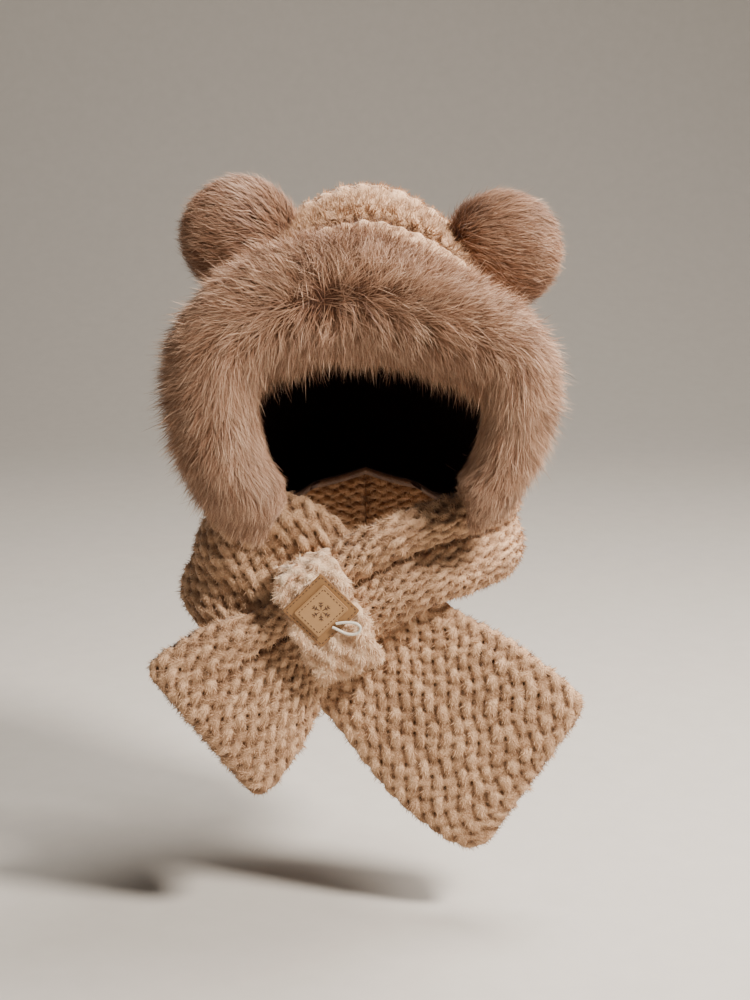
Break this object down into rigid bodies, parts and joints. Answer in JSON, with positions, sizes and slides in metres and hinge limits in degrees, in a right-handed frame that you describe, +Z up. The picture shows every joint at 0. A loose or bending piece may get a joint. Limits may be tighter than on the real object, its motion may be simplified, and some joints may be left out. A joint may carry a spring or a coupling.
{
  "type": "animal hood scarf",
  "caption": "Chunky knitted plush hood with a deep fur trim and round fur ears, in one with a wide scarf that crosses through a keeper strap with a small leather patch.",
  "frame": {"origin": "underside of the crown at its middle, where a head bears", "axes": "+Z up, the face looks to -Y, +X to the viewer's right"},
  "size_m": [0.3968, 0.2625, 0.6151],
  "materials": {
    "knit": "chunky plush knit",
    "lining": "brushed cloth",
    "fur": "deep faux fur",
    "plush": "short smooth pile",
    "leather": "smooth tan leather",
    "leather_top": "smooth tan leather",
    "cord": "round braided cord",
    "thread": "sewing thread"
  },
  "bodies": {
    "root": {"hood_shell": "knit", "hood_lining": "lining", "fur_trim": "fur", "ear_left": "fur", "ear_right": "fur", "scarf_left": "knit", "scarf_right": "knit", "keeper_loop": "plush", "patch_base": "leather", "patch_top": "leather_top", "cord_loop": "cord"}
  },
  "joints": []
}
